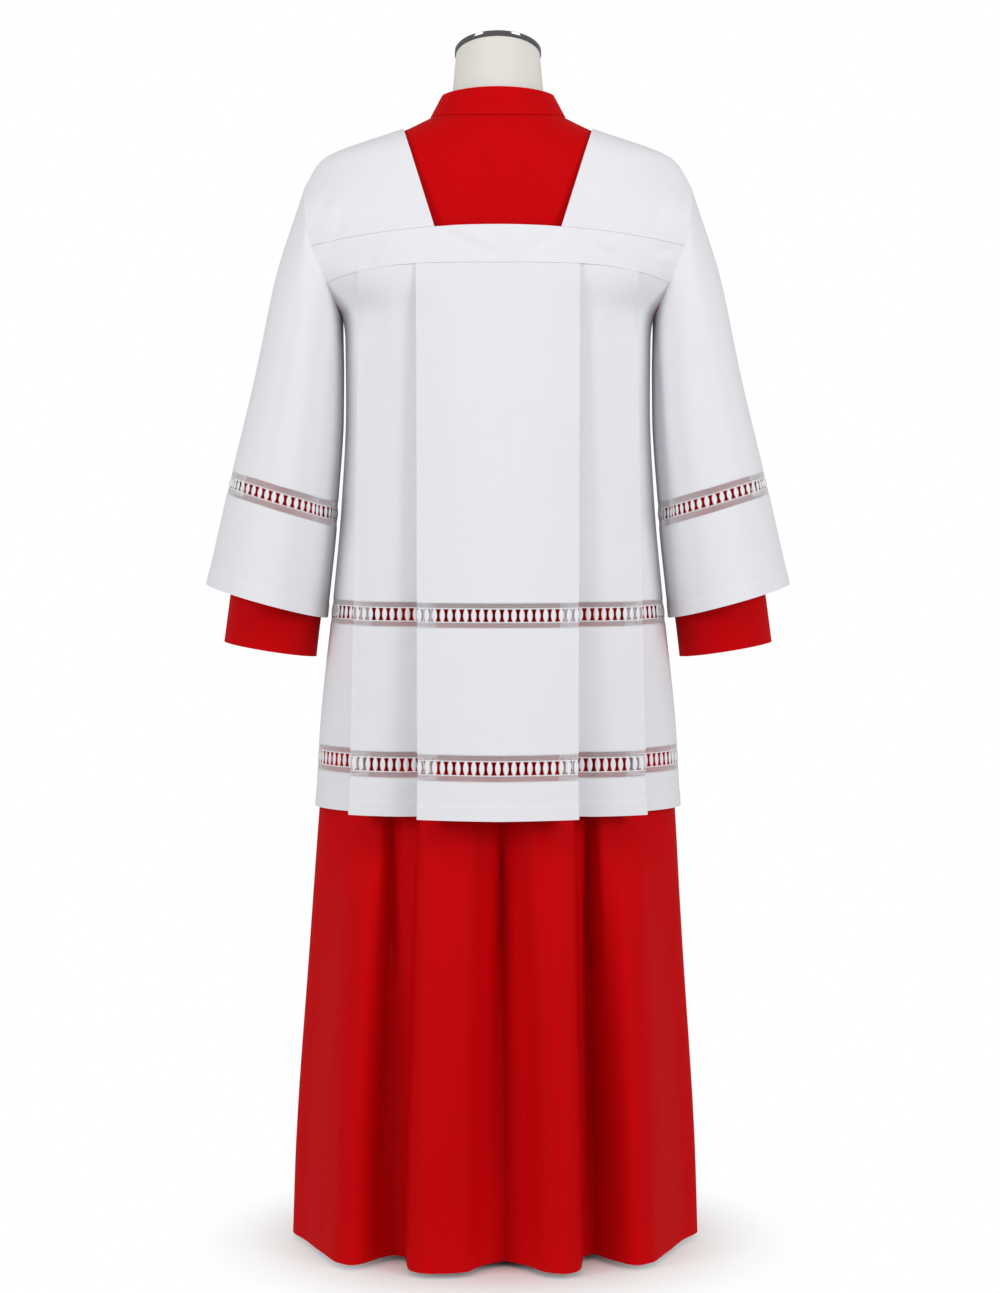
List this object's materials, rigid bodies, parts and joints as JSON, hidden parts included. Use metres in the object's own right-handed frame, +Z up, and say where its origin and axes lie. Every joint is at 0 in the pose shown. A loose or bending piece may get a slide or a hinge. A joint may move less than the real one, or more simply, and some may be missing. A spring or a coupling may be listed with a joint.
{
  "type": "altar server robe, a cassock and surplice, on a limbless dress form",
  "caption": "Floor-length red cassock under a white square-necked surplice with pleats and lace insertions, worn by a limbless dress form on a round base.",
  "frame": {"origin": "middle of the base's underside, on the floor", "axes": "+Z up, the wearer faces -Y, +X towards the wearer's left"},
  "size_m": [0.7272, 0.3944, 1.5029],
  "materials": {
    "cassock_red": "smooth woven suiting with a faint sheen",
    "surplice_white": "matt fine woven cloth",
    "lace_white": "matt cotton lace",
    "form_cover": "matt linen-look cover",
    "neck_cap_chrome": "polished",
    "stand_grey": "satin grey"
  },
  "bodies": {
    "root": {"cassock_back": "cassock_red", "cassock_side_back_left": "cassock_red", "cassock_side_back_right": "cassock_red", "cassock_side_front_left": "cassock_red", "cassock_side_front_right": "cassock_red", "cassock_front_left": "cassock_red", "cassock_front_right": "cassock_red", "cassock_placket": "cassock_red", "cassock_collar": "cassock_red", "cassock_sleeve_left": "cassock_red", "surplice_shoulder_left": "surplice_white", "surplice_sleeve_left": "surplice_white", "surplice_sleeve_hem_left": "surplice_white", "lace_sleeve_left_back": "lace_white", "lace_sleeve_left_front": "lace_white", "cassock_sleeve_right": "cassock_red", "surplice_shoulder_right": "surplice_white", "surplice_sleeve_right": "surplice_white", "surplice_sleeve_hem_right": "surplice_white", "lace_sleeve_right_back": "lace_white", "lace_sleeve_right_front": "lace_white", "surplice_yoke_back": "surplice_white", "surplice_body_back_top": "surplice_white", "surplice_body_back_middle": "surplice_white", "surplice_hem_back": "surplice_white", "lace_back_upper": "lace_white", "lace_back_lower": "lace_white", "surplice_yoke_front": "surplice_white", "surplice_body_front_top": "surplice_white", "surplice_body_front_middle": "surplice_white", "surplice_hem_front": "surplice_white", "lace_front_upper": "lace_white", "lace_front_lower": "lace_white", "form_torso": "form_cover", "form_neck_cap": "neck_cap_chrome", "form_pole": "stand_grey", "form_base": "stand_grey"}
  },
  "joints": []
}
